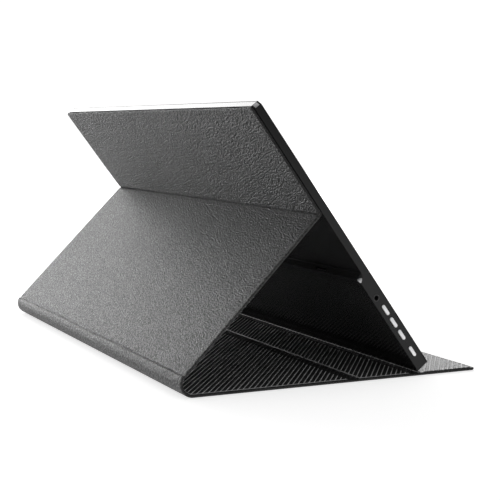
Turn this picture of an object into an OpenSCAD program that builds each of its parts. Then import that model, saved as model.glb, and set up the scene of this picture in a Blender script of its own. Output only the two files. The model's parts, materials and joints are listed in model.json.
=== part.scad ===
// Portable monitor with a folding cover, standing on its cover.
// X runs along the width, the screen faces -Y and the cover's spine is at +Y, the table is Z = 0.
// The origin is the middle of the footprint, on the table. Sizes are in millimetres.

/* [Display] */
// Width of the display
display_w = 356; // [340:1:370]
// Height of the display
display_h = 222.8; // [216:0.2:230]
// Thickness at the electronics, the lower part
display_t = 10; // [9.6:0.1:12]
// How far the upper part of the back is set in
back_inset = 4.3; // [4:0.1:4.4]
// Height of the thick lower part
step_up = 84.6; // [80:0.1:90]
// Angle of the display from the table
tilt = 52; // [50:0.5:54]
// Radius of the display's corners
corner_r = 2.5; // [1.5:0.1:4]
// Wall of the rear cover
wall = 1.2; // [1.1:0.05:1.3]

/* [Screen] */
// Width of the picture window
window_w = 345; // [344.4:0.1:346]
// Height of the picture window
window_h = 194.4; // [193.8:0.1:195]
// Border above the picture window
border_top = 6.8; // [6:0.1:8]
// Thickness of the front bezel
bezel_t = 1; // [0.8:0.1:1.1]

/* [Cover] */
// Width of the cover
cover_w = 358; // [356:1:372]
// Depth of the whole cover on the table, spine to front edge
footprint = 230; // [228:0.5:233]
// Thickness of the two standing panels
panel_t = 2.4; // [2.3:0.05:2.45]
// Thickness of the base on the table
base_t = 2.2; // [2.1:0.05:2.25]
// Thickness of the leather skin
skin_t = 0.6; // [0.5:0.05:0.7]
// Thickness of the lining
lining_t = 0.5; // [0.4:0.05:0.6]
// Width of the skin's turned edge beside the boards
rim = 2.2; // [1.8:0.1:3]
// Outer radius of the round spine
spine_r = 9.1; // [9:0.1:9.4]
// Length of the middle panel between its two folds
middle_l = 137; // [136:0.5:138]
// Height of the fold up the display's back
fold_up = 137.8; // [137:0.2:139]
// Length of the loose front flap
flap_l = 48.8; // [47:0.2:50]
// Width of the soft crease across the middle of the base
crease_w = 11.3; // [9:0.1:12]
// Width of the soft crease that the display stands in
foot_crease_w = 8.5; // [7.5:0.1:9.5]
// Length of the base's front board
front_board_l = 39.1; // [37:0.1:41]
// Radius of the cover's corners
cover_r = 3; // [2:0.5:5]
// Radius of the round leather at each fold
bend_r = 0.9; // [0.8:0.05:0.95]

/* [Keys and sockets] */
// Length of a key
key_l = 9.1; // [8:0.1:9.6]
// Width of a key
key_w = 3.2; // [2.8:0.1:3.4]
// How far a key stands out
key_proud = 0.5; // [0.3:0.05:0.8]
// Travel of a key
key_travel = 0.6; // [0.4:0.05:0.6]
// Bore of the headphone socket
jack_d = 3.6; // [3.5:0.05:3.7]
// Height of the headphone socket up the display
jack_up = 64.8; // [63:0.2:67]
// Height of the lowest key, the power key
power_up = 15.2; // [14:0.2:17]
// Height of the lowest of the three menu keys
menu_up = 30.6; // [30:0.2:32]
// Distance between the menu keys
key_pitch = 11.3; // [11:0.1:11.4]
// Height of the status light
light_up = 23.2; // [22:0.2:24]

/* [Resolution] */
// Facets of round parts
$fn = 64; // [32:8:96]

/* [Hidden] */

// Small distances that the pieces share
slack = 0.05;                            // between pieces that touch within one assembly
run = 0.3;                               // between a fold's round leather and the panel that turns
key_gap = 0.2;                           // around each key in the rear cover
panel_end = bend_r + run;                // where a panel that turns on a fold begins
web_l = panel_end - 0.1;                 // from a fold's axis into its own panel

// Places of the four folds, as [y, z]
heel = [footprint / 2 - spine_r, spine_r];
function polar(r, a) = [r * cos(a), r * sin(a)];
spine_foot_a = -45;
spine_top_a = 40;
top_crease_r = 7.5;
foot_axis = heel + polar(spine_r - bend_r, spine_foot_a);
crease_axis = heel + polar(top_crease_r, spine_top_a);
back_foot_z = 2.65;                      // height of the display's lower back edge on the base
upper_z = back_inset - panel_t - slack;  // outer face of the upper panel, from the lower back plane
fold_z = upper_z + bend_r;
fold_axis_z = back_foot_z + fold_up * sin(tilt) + fold_z * cos(tilt);
middle_a = asin((fold_axis_z - crease_axis[1]) / middle_l);
fold_axis_y = crease_axis[0] - middle_l * cos(middle_a);
back_foot_y = fold_axis_y - fold_up * cos(tilt) + fold_z * sin(tilt);

// The base, from its front edge to the spine
front_y = -footprint / 2;
flap_axis_y = front_y + flap_l + 0.2;
crease_2_y = flap_axis_y + panel_end;    // front end of the crease that the display stands in
front_board_y = flap_axis_y + foot_crease_w;
crease_1_y = front_board_y + front_board_l;
rear_board_y = crease_1_y + crease_w;
rear_board_end = heel[0] - 2;
base_board_t = base_t - skin_t - lining_t;
panel_board_t = panel_t - skin_t - lining_t;
crease_drop = 0.5;                       // how much lower the lining lies in a soft crease
seam_r = 0.5;                            // raised seam line along each soft crease
spine_t = 2.4;

// The display's depth, from the lower back plane towards the screen
shell_top = display_t - bezel_t;
stack_z = back_inset + wall + slack;
reflector_t = 0.3;
guide_t = 1.25;
diffuser_t = 0.4;
cell_t = 1.3;
guide_z = stack_z + reflector_t + slack;
diffuser_z = guide_z + guide_t + slack;
cell_z = shell_top - cell_t - slack;
window_y = display_h - border_top - window_h;
cell_w = window_w + 3.4;
cell_h = window_h + 4.6;
cell_y = window_y - 2.4;
chassis_wall = 0.8;
chassis_gap = 0.1;
key_z = 4.5;
jack_z = 3.6;
light_z = 5;
slot_l = 15;
slot_w = 1.5;
slot_x = 127.5;
slot_z = 2.2;
board_z = wall + 0.35;
board_t = 0.7;
board_top = board_z + board_t;
side_x = display_w / 2;
usb_l = 9;
usb_w = 3.2;
usb_ups = [31, 45];
video_up = 61;
socket_depth = 7.6;
socket_z = board_top + slack + usb_w / 2;

// Places for the pieces

// Display: y up its back from the lower back edge, z from the lower back plane to the screen.
module at_display() {
    translate([0, back_foot_y, back_foot_z]) rotate([tilt, 0, 0]) children();
}

// Middle panel: y from the spine's crease up to the fold, z inwards from the folds' axes.
module at_middle() {
    translate([0, crease_axis[0], crease_axis[1]]) rotate([180 - middle_a, 0, 0]) children();
}

// Spine: about the centre of its round, y to the rear.
module at_heel() {
    translate([0, heel[0], heel[1]]) children();
}

// Shapes that repeat

// A profile drawn as [y, z], run across the width.
module across(w) {
    rotate([90, 0, 90]) linear_extrude(height = w, center = true) children();
}

// A flat outline from y0 to y1, with corner radius r0 at y0 and r1 at y1.
module outline(w, y0, y1, r0 = 0, r1 = 0) {
    translate([-w / 2, y0 + r0]) square([w, y1 - y0 - r0 - r1]);
    if (r0 > 0) {
        translate([-w / 2 + r0, y0]) square([w - 2 * r0, 2 * r0]);
        for (side = [-1, 1]) translate([side * (w / 2 - r0), y0 + r0]) circle(r0);
    }
    if (r1 > 0) {
        translate([-w / 2 + r1, y1 - 2 * r1]) square([w - 2 * r1, 2 * r1]);
        for (side = [-1, 1]) translate([side * (w / 2 - r1), y1 - r1]) circle(r1);
    }
}

module slab(w, y0, y1, z0, z1, r0 = 0, r1 = 0) {
    translate([0, 0, z0]) linear_extrude(height = z1 - z0) outline(w, y0, y1, r0, r1);
}

// Leather skin of a flat panel: one face and its turned side edges, as a shallow tray.
module skin_tray(y0, y1, z0, t, r0 = 0, r1 = 0, end_0 = 0, end_1 = 0) {
    difference() {
        slab(cover_w, y0, y1, z0, z0 + t, r0, r1);
        slab(cover_w - 2 * rim, y0 + end_0 - (end_0 > 0 ? 0 : 1), y1 - end_1 + (end_1 > 0 ? 0 : 1),
            z0 + skin_t, z0 + t + 1);
    }
}

// A ring's sector between two angles, drawn as [y, z] about the spine's centre.
module sector(r_out, r_in, a0, a1) {
    far = 2 * r_out;
    middle = (a0 + a1) / 2;
    intersection() {
        difference() {
            circle(r_out);
            circle(r_in);
        }
        polygon([[0, 0], polar(far, a0), polar(far, middle), polar(far, a1)]);
    }
}

// The sector run across the width, with thicker turned edges at both sides.
module round_skin(a0, a1, t) {
    across(cover_w) sector(spine_r, spine_r - skin_t, a0, a1);
    for (side = [-1, 1])
        translate([side * (cover_w - rim) / 2, 0, 0])
            across(rim) sector(spine_r, spine_r - t, a0, a1);
}

// A rounded bar whose section has round ends, lying along y, run in x.
module oblong(length, width, x0, x1) {
    half = (length - width) / 2;
    translate([x0, -half, -width / 2]) cube([x1 - x0, 2 * half, width]);
    for (side = [-1, 1])
        translate([x0, side * half, 0]) rotate([0, 90, 0]) cylinder(d = width, h = x1 - x0);
}

// Round leather on a fold's axis, with a short web into its own panel, which lies along +y.
module fold_bead(length) {
    rotate([0, 90, 0]) cylinder(r = bend_r, h = length, center = true);
    translate([-length / 2, 0, -bend_r / 2]) cube([length, web_l, bend_r]);
}

// The cover's base, on the table

foot_clear_a = asin(panel_end / (spine_r - bend_r));
heel_end_a = spine_foot_a - foot_clear_a;

module base_skin() {
    color([0.16, 0.16, 0.17]) {
        skin_tray(front_board_y - 1, crease_1_y + 1, 0, base_t);
        skin_tray(rear_board_y - 1, heel[0], 0, base_t);
        slab(cover_w, crease_2_y, heel[0], 0, skin_t);
        at_heel() round_skin(-90, heel_end_a, base_t);
    }
}

module base_rear_board() {
    color([0.45, 0.42, 0.38])
        slab(cover_w - 2 * rim - 2 * slack, rear_board_y, rear_board_end,
            skin_t + slack, skin_t + base_board_t - slack);
}

module base_front_board() {
    color([0.45, 0.42, 0.38])
        slab(cover_w - 2 * rim - 2 * slack, front_board_y, crease_1_y,
            skin_t + slack, skin_t + base_board_t - slack);
}

// Lining: over both boards, lower in the two creases, and up the inside of the spine's heel.
module base_lining() {
    top = base_t;
    over = top - lining_t;
    low = top - crease_drop;
    floor_z = skin_t + slack;
    edge = 1;
    width = cover_w - 2 * rim - 2 * slack;
    color([0.1, 0.1, 0.11]) {
        across(width) polygon([
            [crease_2_y, floor_z], [front_board_y - slack, floor_z], [front_board_y - slack, over],
            [crease_1_y + slack, over], [crease_1_y + slack, floor_z],
            [rear_board_y - slack, floor_z], [rear_board_y - slack, over],
            [rear_board_end + slack, over], [rear_board_end + slack, floor_z],
            [heel[0], floor_z], [heel[0], top],
            [rear_board_y - 1 + edge, top], [rear_board_y - 1, low],
            [crease_1_y + 1, low], [crease_1_y + 1 - edge, top],
            [front_board_y - 1 + edge, top], [front_board_y - 1, low], [crease_2_y, low]
        ]);
        for (y = [crease_1_y + 0.8, flap_axis_y + 3.4])
            translate([0, y, low]) rotate([0, 90, 0]) cylinder(r = seam_r, h = width, center = true);
        at_heel() across(width)
            sector(spine_r - skin_t - slack, spine_r - base_t, -90, heel_end_a);
    }
}

// The front flap, which lies loose in front of the display

module flap_crease() {
    color([0.12, 0.12, 0.13]) translate([0, flap_axis_y, bend_r]) fold_bead(cover_w - 2);
}

flap_end = flap_axis_y - panel_end;
flap_board_w = cover_w - 2 * rim - 2 * slack;

module flap_skin() {
    color([0.16, 0.16, 0.17])
        skin_tray(front_y, flap_end, 0, base_t, cover_r, 0, rim, 0);
}

magnet_l = 40;
magnet_w = 9;
flap_magnet_x = 110;

module flap_magnet_places(z0, z1, grow = 0) {
    for (side = [-1, 1])
        translate([side * flap_magnet_x, front_y + 14, 0])
            translate([-magnet_l / 2 - grow, -magnet_w / 2 - grow, z0])
                cube([magnet_l + 2 * grow, magnet_w + 2 * grow, z1 - z0]);
}

module flap_board() {
    color([0.45, 0.42, 0.38]) difference() {
        slab(flap_board_w, front_y + rim + slack, flap_end,
            skin_t + slack, skin_t + base_board_t - slack);
        flap_magnet_places(0, base_t, slack);
    }
}

module flap_lining() {
    color([0.1, 0.1, 0.11])
        slab(flap_board_w, front_y + rim + slack, flap_end, base_t - lining_t, base_t);
}

module flap_magnets() {
    color([0.7, 0.7, 0.72])
        flap_magnet_places(skin_t + slack, skin_t + base_board_t - slack);
}

// The round spine

top_clear_a = asin(panel_end / top_crease_r);
spine_start_a = spine_foot_a + foot_clear_a;
spine_end_a = spine_top_a - top_clear_a;

module spine_foot_crease() {
    color([0.2, 0.2, 0.21])
        translate([0, foot_axis[0], foot_axis[1]]) rotate([spine_foot_a - 90, 0, 0])
            fold_bead(cover_w - 2);
}

module spine_skin() {
    color([0.28, 0.28, 0.29]) at_heel() round_skin(spine_start_a, spine_end_a, spine_t);
}

module spine_stiffener() {
    color([0.45, 0.42, 0.38]) at_heel() across(flap_board_w)
        sector(spine_r - skin_t - slack, spine_r - spine_t + lining_t + slack,
            spine_start_a, spine_end_a);
}

module spine_lining() {
    color([0.1, 0.1, 0.11]) at_heel() across(flap_board_w)
        sector(spine_r - spine_t + lining_t, spine_r - spine_t, spine_start_a, spine_end_a);
}

module spine_top_crease() {
    color([0.2, 0.2, 0.21])
        translate([0, crease_axis[0], crease_axis[1]]) rotate([spine_top_a - 90, 0, 0])
            fold_bead(cover_w - 2);
}

// The middle panel, the stand's sloping back

middle_y0 = panel_end;
middle_y1 = middle_l - panel_end;

module middle_skin() {
    color([0.42, 0.42, 0.43]) at_middle()
        skin_tray(middle_y0, middle_y1, -bend_r, panel_t, 0, cover_r);
}

module middle_board() {
    color([0.45, 0.42, 0.38]) at_middle()
        slab(flap_board_w, middle_y0, middle_y1 - cover_r,
            skin_t - bend_r + slack, panel_t - lining_t - bend_r - slack);
}

module middle_lining() {
    color([0.1, 0.1, 0.11]) at_middle()
        slab(flap_board_w, middle_y0, middle_y1, panel_t - lining_t - bend_r, panel_t - bend_r);
}

module fold_crease() {
    color([0.2, 0.2, 0.21]) at_middle()
        translate([0, middle_l, 0]) rotate([180, 0, 0]) fold_bead(cover_w - 2);
}

// The upper panel, held on the display's back by magnets

upper_y0 = fold_up + panel_end;
upper_y1 = display_h - 0.2;
upper_magnet_d = 12;
upper_magnet_xs = [for (i = [-2.5:1:2.5]) i * 54];
upper_magnet_y = upper_y0 + 46;

module upper_skin() {
    color([0.3, 0.3, 0.31]) at_display()
        skin_tray(upper_y0, upper_y1, upper_z, panel_t, cover_r, cover_r, 0, rim);
}

module upper_board() {
    color([0.45, 0.42, 0.38]) at_display() difference() {
        slab(flap_board_w, upper_y0 + cover_r, upper_y1 - rim - slack,
            upper_z + skin_t + slack, upper_z + panel_t - lining_t - slack);
        for (x = upper_magnet_xs)
            translate([x, upper_magnet_y, 0]) cylinder(d = upper_magnet_d + 0.4, h = display_t);
    }
}

module upper_lining() {
    color([0.1, 0.1, 0.11]) at_display()
        slab(flap_board_w, upper_y0, upper_y1 - rim - slack,
            upper_z + panel_t - lining_t, upper_z + panel_t);
}

module upper_magnets() {
    color([0.7, 0.7, 0.72]) at_display()
        for (x = upper_magnet_xs)
            translate([x, upper_magnet_y, upper_z + skin_t + slack])
                cylinder(d = upper_magnet_d, h = panel_board_t - 2 * slack);
}

// The display's rear cover, thick at the bottom and set in above the step

// Points of a round corner, as [y, z].
function corner(centre, r, a0, a1, steps = 4) =
    [for (i = [0:steps]) centre + polar(r, a0 + (a1 - a0) * i / steps)];

edge_r = 0.9;
step_round = 1.1;
step_lean = 2.2;

module back_profile() {
    low_r = [step_up - step_lean / 2 - step_round, step_round];
    high_r = [step_up + step_lean / 2 + step_round, back_inset - step_round];
    lean_a = 30;
    polygon(concat(
        corner([edge_r, edge_r], edge_r, 180, 270),
        corner(low_r, step_round, 270, 360 - lean_a),
        corner(high_r, step_round, 180 - lean_a, 90),
        corner([display_h - edge_r, back_inset + edge_r], edge_r, 270, 360),
        [[display_h, shell_top], [0, shell_top]]));
}

module cavity_profile() {
    inner_step = step_up - wall - step_lean / 2;
    polygon([
        [wall, wall], [inner_step - 0.6, wall], [inner_step + step_lean - 0.8, back_inset + wall],
        [display_h - wall, back_inset + wall], [display_h - wall, display_t + 1],
        [wall, display_t + 1]
    ]);
}

plate_xs = [-90, 90];
plate_l = 120;
plate_w = 26;
plate_t = 0.6;
screw_d = 2;
screw_places = [[72, 20], [72, 60], [150, 20], [150, 60]];
boss_d = 4.4;

module plate_places(grow, t) {
    for (x = plate_xs)
        translate([x - plate_l / 2 - grow, upper_magnet_y - plate_w / 2 - grow, back_inset + wall - t])
            cube([plate_l + 2 * grow, plate_w + 2 * grow, t + 1]);
}

module key_places() {
    for (up = [menu_up, menu_up + key_pitch, menu_up + 2 * key_pitch, power_up])
        translate([-side_x, up, key_z]) children();
}

module rear_cover() {
    color([0.14, 0.14, 0.15]) at_display() {
        difference() {
            intersection() {
                across(display_w) back_profile();
                slab(display_w, 0, display_h, 0, shell_top, corner_r, corner_r);
            }
            intersection() {
                across(display_w - 2 * wall) cavity_profile();
                slab(display_w - 2 * wall, wall, display_h - wall, 0, display_t + 1,
                    corner_r - wall, corner_r - wall);
            }
            plate_places(0.2, plate_t + slack);
            key_places() oblong(key_l + 2 * key_gap, key_w + 2 * key_gap, -1, wall + 1);
            translate([-side_x - 1, jack_up, jack_z]) rotate([0, 90, 0]) cylinder(d = 4.4, h = wall + 2);
            translate([-side_x - 1, light_up, light_z]) rotate([0, 90, 0]) cylinder(d = 1, h = wall + 2);
            for (up = usb_ups)
                translate([side_x, up, socket_z]) oblong(usb_l + 0.5, usb_w + 0.5, -wall - 1, 1);
            translate([side_x - wall - 1, video_up - 5.9, socket_z - 1.75]) cube([wall + 2, 11.8, 3.5]);
            for (side = [-1, 1])
                translate([side * slot_x, step_up - 3, slot_z]) rotate([0, 0, 90])
                    oblong(slot_l, slot_w, 0, 8);
        }
        for (place = screw_places)
            translate([place[0], place[1], wall - slack]) difference() {
                cylinder(d = boss_d, h = board_z - wall + slack);
                translate([0, 0, -1]) cylinder(d = screw_d + 0.1, h = 4);
            }
    }
}

module holding_plates() {
    color([0.65, 0.66, 0.68]) at_display() intersection() {
        plate_places(0, plate_t);
        translate([-side_x, 0, 0]) cube([display_w, display_h, back_inset + wall - slack]);
    }
}

// The screen, from its bezel back to its reflector

module screen_bezel() {
    lip = 1;
    lip_w = display_w - 2 * wall - 0.2;
    color([0.09, 0.09, 0.1]) at_display() difference() {
        union() {
            slab(display_w, 0, display_h, shell_top, display_t, corner_r, corner_r);
            slab(lip_w, wall + 0.1, display_h - wall - 0.1, shell_top - lip, shell_top + slack, 1, 1);
        }
        slab(window_w, window_y, window_y + window_h, 0, display_t + 1);
        slab(display_w - 2 * wall - 2.2, wall + 1.1, display_h - wall - 1.1, 0, shell_top);
    }
}

module lcd_cell() {
    color([0.03, 0.03, 0.04]) at_display()
        slab(cell_w, cell_y, cell_y + cell_h, cell_z, cell_z + cell_t);
}

module diffuser_sheet() {
    color([0.93, 0.93, 0.95]) at_display()
        slab(cell_w - 0.6, cell_y + 0.3, cell_y + cell_h - 0.3, diffuser_z, diffuser_z + diffuser_t);
}

bar_w = 1;

module light_guide() {
    color([0.85, 0.9, 0.95]) at_display()
        slab(cell_w - 1, cell_y + bar_w + 0.4, cell_y + cell_h - 0.5, guide_z, guide_z + guide_t);
}

module reflector_sheet() {
    color([0.96, 0.96, 0.96]) at_display()
        slab(cell_w - 0.6, cell_y + 0.3, cell_y + cell_h - 0.3, stack_z, stack_z + reflector_t);
}

// Strip of small lamps along the light guide's lower edge.
module backlight_bar() {
    lamps = 48;
    lamp_pitch = (cell_w - 12) / lamps;
    color([0.95, 0.9, 0.7]) at_display() {
        slab(cell_w - 2, cell_y + 0.2, cell_y + 0.6, guide_z, guide_z + guide_t);
        for (i = [0:lamps - 1])
            translate([(i - (lamps - 1) / 2) * lamp_pitch, cell_y + 0.55, guide_z + 0.2])
                translate([-1.5, 0, 0]) cube([3, bar_w - 0.3, guide_t - 0.4]);
    }
}

module lcd_chassis() {
    outer_w = cell_w + 2 * chassis_gap + 2 * chassis_wall;
    color([0.2, 0.2, 0.21]) at_display() difference() {
        slab(outer_w, cell_y - chassis_gap - chassis_wall, cell_y + cell_h + chassis_gap + chassis_wall,
            stack_z, shell_top - slack);
        slab(cell_w + 2 * chassis_gap, cell_y - chassis_gap, cell_y + cell_h + chassis_gap,
            0, display_t);
    }
}

// Electronics in the thick lower part

module panel_board() {
    color([0.1, 0.35, 0.2]) at_display() slab(250, 5, 15, stack_z + 1, stack_z + 1.8);
}

// Flat cable from the main board, bent up to the screen's own board.
module panel_cable() {
    t = 0.3;
    x = 100;
    low = 3.4;
    bend = 16.8;
    high = stack_z + 1 - t - slack;
    color([0.75, 0.6, 0.25]) at_display() translate([x, 0, 0]) across(22)
        polygon([
            [24, low], [bend, low], [bend, high], [7, high],
            [7, high + t], [bend + t, high + t], [bend + t, low + t], [24, low + t]
        ]);
}

board_x0 = 64;
board_x1 = 170;
board_y0 = 14;
board_y1 = 66.5;

module main_board() {
    color([0.08, 0.3, 0.18]) at_display() difference() {
        translate([board_x0, board_y0, board_z]) cube([board_x1 - board_x0, board_y1 - board_y0, board_t]);
        for (place = screw_places)
            translate([place[0], place[1], 0]) cylinder(d = screw_d + 0.4, h = display_t);
    }
}

// Chips, coils and connectors, each as [x, y, length, width, height] or [x, y, diameter, height].
chips = [[118, 48, 14, 14, 1.1], [142, 30, 8, 8, 1], [84, 32, 9, 6, 0.9], [118, 63, 8, 4, 1],
    [84, 62, 6, 4, 1.2], [97, 21.5, 24, 4.4, 1]];
coils = [[140, 52, 6, 2.4], [148, 44, 5, 2.2], [98, 62, 5, 2.6], [91, 62, 5, 2.6]];

module board_chips() {
    color([0.07, 0.07, 0.08]) at_display() translate([0, 0, board_top + slack]) {
        for (c = chips) translate([c[0] - c[2] / 2, c[1] - c[3] / 2, 0]) cube([c[2], c[3], c[4]]);
        for (c = coils) translate([c[0], c[1], 0]) cylinder(d = c[2], h = c[3]);
    }
}

module shield_can() {
    size = [26, 24, 2.2];
    sheet = 0.25;
    color([0.75, 0.76, 0.78]) at_display() translate([105, 36, board_top + slack]) difference() {
        cube(size);
        translate([sheet, sheet, -1]) cube([size[0] - 2 * sheet, size[1] - 2 * sheet, size[2] - sheet + 1]);
    }
}

module board_screws() {
    color([0.7, 0.7, 0.72]) at_display()
        for (place = screw_places)
            translate([place[0], place[1], 0]) difference() {
                union() {
                    translate([0, 0, wall + 0.1]) cylinder(d = screw_d - 0.2, h = board_top - wall);
                    translate([0, 0, board_top + slack]) cylinder(d = 3.6, h = 1);
                }
                for (a = [0, 90])
                    rotate([0, 0, a]) translate([-0.8, -0.2, board_top + 0.6]) cube([1.6, 0.4, 1]);
            }
}

// Keys on the left side, with their switches

flange_x = wall + 0.2;
key_inner_x = flange_x + 0.6;
nub_d = 1.6;
nub_z = -0.3;
nub_end = 3.7;
switch_x = key_inner_x + key_travel + 0.4;
switch_depth = 2.4;
switch_h = 2.4;

// One key at the display's side: x inwards from the side face, y and z from the key's centre.
module key() {
    oblong(key_l, key_w, -key_proud, key_inner_x);
    translate([flange_x, -key_l / 2 - 1, -key_w / 2]) cube([key_inner_x - flange_x, key_l + 2, 2.6]);
    translate([0, 0, nub_z]) rotate([0, 90, 0]) cylinder(d = nub_d, h = nub_end);
}

module key_at(up) {
    color([0.78, 0.79, 0.8]) at_display() translate([-side_x, up, key_z]) key();
}

module lower_key() { key_at(menu_up); }
module centre_key() { key_at(menu_up + key_pitch); }
module upper_key() { key_at(menu_up + 2 * key_pitch); }
module power_key() { key_at(power_up); }

module key_switches() {
    color([0.25, 0.25, 0.26]) at_display()
        key_places() translate([0, 0, nub_z]) difference() {
            translate([switch_x, -2.6, -switch_h / 2]) cube([switch_depth, 5.2, switch_h]);
            rotate([0, 90, 0]) cylinder(d = nub_d + 0.4, h = nub_end + key_travel + 0.5);
        }
}

module key_board() {
    x = -side_x + switch_x + switch_depth + slack;
    color([0.08, 0.3, 0.18]) at_display() translate([x, 8, wall + slack]) cube([0.8, 52, 4.1]);
}

module status_light() {
    color([0.6, 0.75, 0.95]) at_display()
        translate([-side_x + 0.2, light_up, light_z]) rotate([0, 90, 0]) cylinder(d = 0.9, h = 5);
}

// Sockets

module headphone_socket() {
    depth = 14;
    body = [10.5, 6.4, 4.25];
    color([0.06, 0.06, 0.07]) at_display() translate([-side_x, jack_up, jack_z])
        difference() {
            union() {
                rotate([0, 90, 0]) cylinder(d = 4.2, h = 2.6);
                translate([6.5, -body[1] / 2, -jack_z + wall + slack]) cube(body);
                translate([wall + 0.2, -body[1] / 2, -jack_z + wall + slack]) cube([5.2, body[1], body[2]]);
            }
            translate([-1, 0, 0]) rotate([0, 90, 0]) cylinder(d = jack_d, h = depth + 1);
            translate([4.9, -4, -4]) cube([1.6, 8, 2]);
        }
}

// One socket of bright sheet metal with a tongue inside, at the right side face.
module usb_socket(up) {
    sheet = 0.3;
    color([0.72, 0.73, 0.75]) at_display() translate([side_x, up, socket_z]) {
        difference() {
            oblong(usb_l, usb_w, -socket_depth, -0.1);
            oblong(usb_l - 2 * sheet, usb_w - 2 * sheet, -socket_depth + 1, 1);
        }
        translate([-socket_depth + 0.5, -3.3, -0.35]) cube([5.6, 6.6, 0.7]);
    }
}

module upper_usb_socket() { usb_socket(usb_ups[1]); }
module lower_usb_socket() { usb_socket(usb_ups[0]); }

module video_socket() {
    sheet = 0.3;
    w = 11.2;
    h = 3;
    narrow = 1.6;
    color([0.72, 0.73, 0.75]) at_display() translate([side_x - socket_depth, video_up, socket_z])
        rotate([90, 0, 90]) {
            difference() {
                linear_extrude(height = socket_depth - 0.1)
                    polygon([[-w / 2, h / 2], [w / 2, h / 2], [w / 2, 0], [w / 2 - narrow, -h / 2],
                        [narrow - w / 2, -h / 2], [-w / 2, 0]]);
                translate([0, 0, 1]) linear_extrude(height = socket_depth)
                    polygon([[sheet - w / 2, h / 2 - sheet], [w / 2 - sheet, h / 2 - sheet],
                        [w / 2 - sheet, 0.1], [w / 2 - narrow - 0.1, sheet - h / 2],
                        [narrow + 0.1 - w / 2, sheet - h / 2], [sheet - w / 2, 0.1]]);
            }
            translate([-3.6, -0.3, 0.5]) cube([7.2, 0.6, 5.5]);
        }
}

// A flat box speaker behind each slot in the step
module speaker() {
    size = [34, 12, 3.6];
    color([0.1, 0.1, 0.11]) translate([-size[0] / 2, step_up - 17.4, wall + 0.2]) difference() {
        cube(size);
        translate([7, 2.2, size[2] - 0.5]) cube([20, 7.6, 1]);
        translate([9.5, size[1] - 2, 0.2]) cube([slot_l, 3, 1.6]);
    }
}

module left_speaker() { at_display() translate([-slot_x, 0, 0]) speaker(); }
module right_speaker() { at_display() translate([slot_x, 0, 0]) speaker(); }

base_skin();
base_rear_board();
base_front_board();
base_lining();
flap_crease();
flap_skin();
flap_board();
flap_lining();
flap_magnets();
spine_foot_crease();
spine_skin();
spine_stiffener();
spine_lining();
spine_top_crease();
middle_skin();
middle_board();
middle_lining();
fold_crease();
upper_skin();
upper_board();
upper_lining();
upper_magnets();
rear_cover();
screen_bezel();
lcd_cell();
diffuser_sheet();
light_guide();
reflector_sheet();
backlight_bar();
lcd_chassis();
panel_board();
panel_cable();
holding_plates();
main_board();
board_chips();
shield_can();
board_screws();
key_board();
key_switches();
upper_key();
centre_key();
lower_key();
power_key();
status_light();
headphone_socket();
upper_usb_socket();
lower_usb_socket();
video_socket();
left_speaker();
right_speaker();
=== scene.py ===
# Portable monitor standing on its folding leather cover.
import bpy
import bmesh
import json
import math
from mathutils import Matrix, Vector, noise

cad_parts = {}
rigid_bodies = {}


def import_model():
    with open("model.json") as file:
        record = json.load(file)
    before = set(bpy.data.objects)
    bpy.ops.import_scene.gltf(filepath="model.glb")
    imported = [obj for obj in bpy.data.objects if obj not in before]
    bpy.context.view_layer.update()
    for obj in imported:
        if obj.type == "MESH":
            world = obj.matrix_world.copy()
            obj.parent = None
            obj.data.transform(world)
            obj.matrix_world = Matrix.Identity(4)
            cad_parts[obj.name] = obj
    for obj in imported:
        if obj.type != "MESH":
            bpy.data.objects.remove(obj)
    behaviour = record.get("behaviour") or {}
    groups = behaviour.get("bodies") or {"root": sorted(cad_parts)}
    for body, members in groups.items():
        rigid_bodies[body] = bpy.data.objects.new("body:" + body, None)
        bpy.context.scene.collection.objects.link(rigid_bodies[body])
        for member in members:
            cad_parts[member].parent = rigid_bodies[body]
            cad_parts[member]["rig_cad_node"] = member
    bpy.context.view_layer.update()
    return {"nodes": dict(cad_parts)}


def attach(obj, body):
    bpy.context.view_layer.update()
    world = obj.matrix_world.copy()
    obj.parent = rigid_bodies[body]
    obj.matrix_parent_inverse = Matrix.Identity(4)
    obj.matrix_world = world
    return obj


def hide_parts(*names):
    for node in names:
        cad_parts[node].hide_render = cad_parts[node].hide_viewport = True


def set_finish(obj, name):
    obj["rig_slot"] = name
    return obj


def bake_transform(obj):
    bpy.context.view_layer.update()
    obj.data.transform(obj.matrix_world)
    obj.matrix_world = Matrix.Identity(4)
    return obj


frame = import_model()
nodes = frame["nodes"]
print("frame loaded:", len(nodes), "nodes")

# Everything is drawn in millimetres and set into the frame in metres.
mm = 0.001
tilt = 52.0                                   # the display's angle from the table
displayFoot = (-65.715, 2.65)                 # lower edge of its back, as y, z
creaseAxis = (111.645, 13.921)                # where the middle panel turns on the spine
middleAngle = 46.278
foldAxis = (16.956, 112.931)
flapAxis = (-66.0, 0.9)
heel = (105.9, 9.1)                           # centre of the round spine
heelRadius = 9.1
coverHalf = 179.0                             # half the cover's width


# Small helpers that do one step of handwork each
def enterEdit(obj):
    makeActive(obj)
    bpy.ops.object.mode_set(mode="EDIT")


def leaveEdit():
    bpy.ops.object.mode_set(mode="OBJECT")


def clearSelection():
    if bpy.context.object and bpy.context.object.mode != "OBJECT":
        leaveEdit()
    bpy.ops.object.select_all(action="DESELECT")


def makeActive(obj):
    clearSelection()
    obj.select_set(True)
    bpy.context.view_layer.objects.active = obj


def settle(obj):
    # puts the piece's place, turn and scale into its mesh
    makeActive(obj)
    bpy.ops.object.transform_apply(location=True, rotation=True, scale=True)


def bevel(offset, segments):
    bpy.ops.mesh.bevel(offset=offset, segments=segments, affect="EDGES")


def runs(edge, axis, least):
    # the edge's ends lie this far apart along an axis
    first, second = edge.verts
    return abs(first.co[axis] - second.co[axis]) > least


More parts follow.
